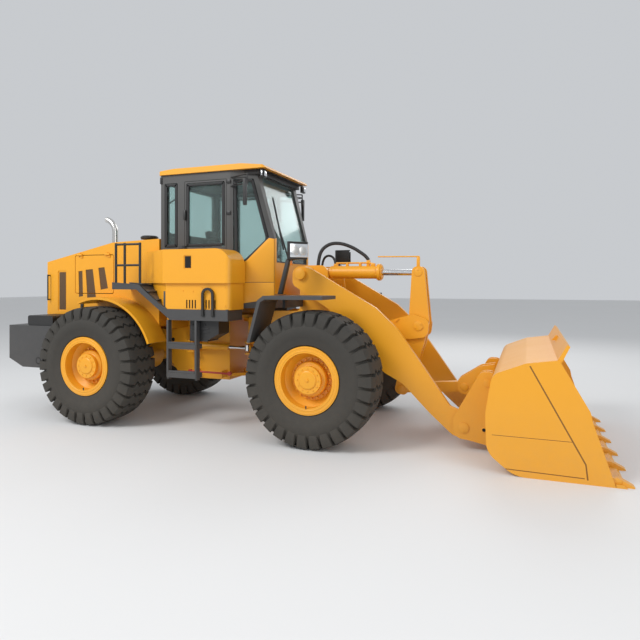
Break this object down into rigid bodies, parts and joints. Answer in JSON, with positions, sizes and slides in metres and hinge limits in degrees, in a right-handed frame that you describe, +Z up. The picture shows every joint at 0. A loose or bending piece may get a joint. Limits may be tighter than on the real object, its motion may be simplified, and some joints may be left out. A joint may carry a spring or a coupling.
{
  "type": "articulated wheel loader",
  "caption": "Articulated wheel loader with a lifting boom, bellcrank linkage and toothed bucket, enclosed cab, hinged hood doors and large lugged tyres.",
  "frame": {"origin": "on the floor under the middle of the machine's overall length and width", "axes": "+X forward along the length, +Y to the left, +Z up"},
  "size_m": [7.47, 2.65, 3.26],
  "materials": {
    "yellow_paint": "semi-gloss",
    "rim_paint": "semi-gloss",
    "grey_paint": "satin",
    "black_paint": "satin",
    "bright_steel": "polished",
    "chrome_rod": "polished",
    "tinted_glass": "polished",
    "seat_cloth": "woven",
    "tyre_rubber": "matte"
  },
  "bodies": {
    "rear": {"rear_frame": "yellow_paint", "counterweight": "grey_paint", "tow_hitch": "grey_paint", "engine_block": "black_paint", "hood": "yellow_paint", "exhaust_pipe": "bright_steel", "air_precleaner": "black_paint", "rear_axle": "yellow_paint", "cab_shell": "grey_paint", "cab_roof": "yellow_paint", "cab_glass": "tinted_glass", "operator_seat": "seat_cloth", "steering_column": "black_paint", "hydraulic_tank": "yellow_paint", "fuel_tank": "yellow_paint", "side_panels": "yellow_paint", "step_decks": "grey_paint", "rear_fenders": "yellow_paint", "ladders": "black_paint", "hand_rails": "black_paint", "battery_boxes": "black_paint", "mirrors": "black_paint"},
    "front": {"front_frame": "yellow_paint", "front_axle": "yellow_paint", "front_fenders": "grey_paint", "head_lamps": "black_paint"},
    "boom": {"boom": "yellow_paint"},
    "bellcrank": {"bellcrank": "yellow_paint"},
    "link": {"bucket_link": "yellow_paint"},
    "bucket": {"bucket": "yellow_paint", "bucket_teeth": "yellow_paint"},
    "tilt_barrel": {"tilt_barrel": "yellow_paint"},
    "tilt_rod": {"tilt_rod": "chrome_rod"},
    "lift_barrels": {"lift_barrels": "yellow_paint"},
    "lift_rods": {"lift_rods": "chrome_rod"},
    "steer_left_barrel": {"steer_left_barrel": "yellow_paint"},
    "steer_left_rod": {"steer_left_rod": "chrome_rod"},
    "steer_right_barrel": {"steer_right_barrel": "yellow_paint"},
    "steer_right_rod": {"steer_right_rod": "chrome_rod"},
    "cab_door": {"cab_door": "grey_paint", "cab_door_glass": "tinted_glass"},
    "grille_door": {"radiator_grille": "grey_paint"},
    "hood_door_left": {"hood_door_left": "yellow_paint"},
    "hood_door_right": {"hood_door_right": "yellow_paint"},
    "wheel_front_left": {"tyre_front_left": "tyre_rubber", "rim_front_left": "rim_paint"},
    "wheel_front_right": {"tyre_front_right": "tyre_rubber", "rim_front_right": "rim_paint"},
    "wheel_rear_left": {"tyre_rear_left": "tyre_rubber", "rim_rear_left": "rim_paint"},
    "wheel_rear_right": {"tyre_rear_right": "tyre_rubber", "rim_rear_right": "rim_paint"}
  },
  "joints": [
    {"name": "articulation", "type": "hinge", "parent": "rear", "child": "front", "pos_m": [-0.635, 0, 0.95], "axis": [0, 0, 1], "range_deg": [-35, 35]},
    {"name": "boom_lift", "type": "hinge", "parent": "front", "child": "boom", "pos_m": [0.315, 0, 1.9], "axis": [0, -1, 0], "range_deg": [-2, 89]},
    {"name": "bucket_tilt", "type": "hinge", "parent": "boom", "child": "bucket", "pos_m": [2.215, 0, 0.24], "axis": [0, 1, 0], "range_deg": [-43, 134]},
    {"name": "bellcrank_swing", "type": "hinge", "parent": "boom", "child": "bellcrank", "pos_m": [1.635, 0, 1.28], "axis": [0, -1, 0], "range_deg": [-12, 37]},
    {"name": "link_swing", "type": "hinge", "parent": "bellcrank", "child": "link", "pos_m": [1.415, 0, 0.51], "axis": [0, 1, 0], "range_deg": [-20, 61]},
    {"name": "tilt_barrel_swing", "type": "hinge", "parent": "front", "child": "tilt_barrel", "pos_m": [0.405, 0, 1.93], "axis": [0, -1, 0], "range_deg": [-3, 95]},
    {"name": "tilt_stroke", "type": "slide", "parent": "tilt_barrel", "child": "tilt_rod", "axis": [1, 0, -0.0082], "range_m": [-0.39, 0.13]},
    {"name": "lift_barrel_swing", "type": "hinge", "parent": "front", "child": "lift_barrels", "pos_m": [-0.155, 0, 0.65], "axis": [0, -1, 0], "range_deg": [-1, 28]},
    {"name": "lift_stroke", "type": "slide", "parent": "lift_barrels", "child": "lift_rods", "axis": [0.8417, 0, 0.54], "range_m": [-0.02, 0.86]},
    {"name": "steer_left_swing", "type": "hinge", "parent": "rear", "child": "steer_left_barrel", "pos_m": [-1.335, 0.4, 0.96], "axis": [0, 0, 1], "range_deg": [-4.1, 4.1]},
    {"name": "steer_left_stroke", "type": "slide", "parent": "steer_left_barrel", "child": "steer_left_rod", "axis": [1, -0.006, 0], "range_m": [-0.24, 0.24]},
    {"name": "steer_right_swing", "type": "hinge", "parent": "rear", "child": "steer_right_barrel", "pos_m": [-1.335, -0.4, 0.96], "axis": [0, 0, 1], "range_deg": [-4.1, 4.1]},
    {"name": "steer_right_stroke", "type": "slide", "parent": "steer_right_barrel", "child": "steer_right_rod", "axis": [1, 0.006, 0], "range_m": [-0.24, 0.24]},
    {"name": "cab_door_swing", "type": "hinge", "parent": "rear", "child": "cab_door", "pos_m": [-1.295, 0.695, 2.34], "axis": [0, 0, 1], "range_deg": [0, 100]},
    {"name": "hood_door_left_lift", "type": "hinge", "parent": "rear", "child": "hood_door_left", "pos_m": [-2.72, 0.695, 2.18], "axis": [1, 0, 0], "range_deg": [0, 75]},
    {"name": "hood_door_right_lift", "type": "hinge", "parent": "rear", "child": "hood_door_right", "pos_m": [-2.72, -0.695, 2.18], "axis": [-1, 0, 0], "range_deg": [0, 75]},
    {"name": "grille_swing", "type": "hinge", "parent": "rear", "child": "grille_door", "pos_m": [-3.5803, -0.615, 1.65], "axis": [0, 0, 1], "range_deg": [0, 100]},
    {"name": "wheel_front_left_spin", "type": "hinge", "parent": "front", "child": "wheel_front_left", "pos_m": [0.645, 1.03, 0.7465], "axis": [0, 1, 0], "continuous": true},
    {"name": "wheel_front_right_spin", "type": "hinge", "parent": "front", "child": "wheel_front_right", "pos_m": [0.645, -1.03, 0.7465], "axis": [0, 1, 0], "continuous": true},
    {"name": "wheel_rear_left_spin", "type": "hinge", "parent": "rear", "child": "wheel_rear_left", "pos_m": [-2.355, 1.03, 0.7465], "axis": [0, 1, 0], "continuous": true},
    {"name": "wheel_rear_right_spin", "type": "hinge", "parent": "rear", "child": "wheel_rear_right", "pos_m": [-2.355, -1.03, 0.7465], "axis": [0, 1, 0], "continuous": true}
  ],
  "couplings": [
    {"joint": "bellcrank_swing", "follows": "bucket_tilt", "ratio": 0.27},
    {"joint": "link_swing", "follows": "bucket_tilt", "ratio": 0.45},
    {"joint": "tilt_barrel_swing", "follows": "boom_lift", "ratio": 1.06},
    {"joint": "tilt_stroke", "follows": "bucket_tilt", "m_per_rad": -0.165},
    {"joint": "lift_barrel_swing", "follows": "boom_lift", "ratio": 0.309},
    {"joint": "lift_stroke", "follows": "boom_lift", "m_per_rad": 0.548},
    {"joint": "steer_left_swing", "follows": "articulation", "ratio": 0.113},
    {"joint": "steer_right_swing", "follows": "articulation", "ratio": 0.113},
    {"joint": "steer_left_stroke", "follows": "articulation", "m_per_rad": -0.371},
    {"joint": "steer_right_stroke", "follows": "articulation", "m_per_rad": 0.371}
  ]
}
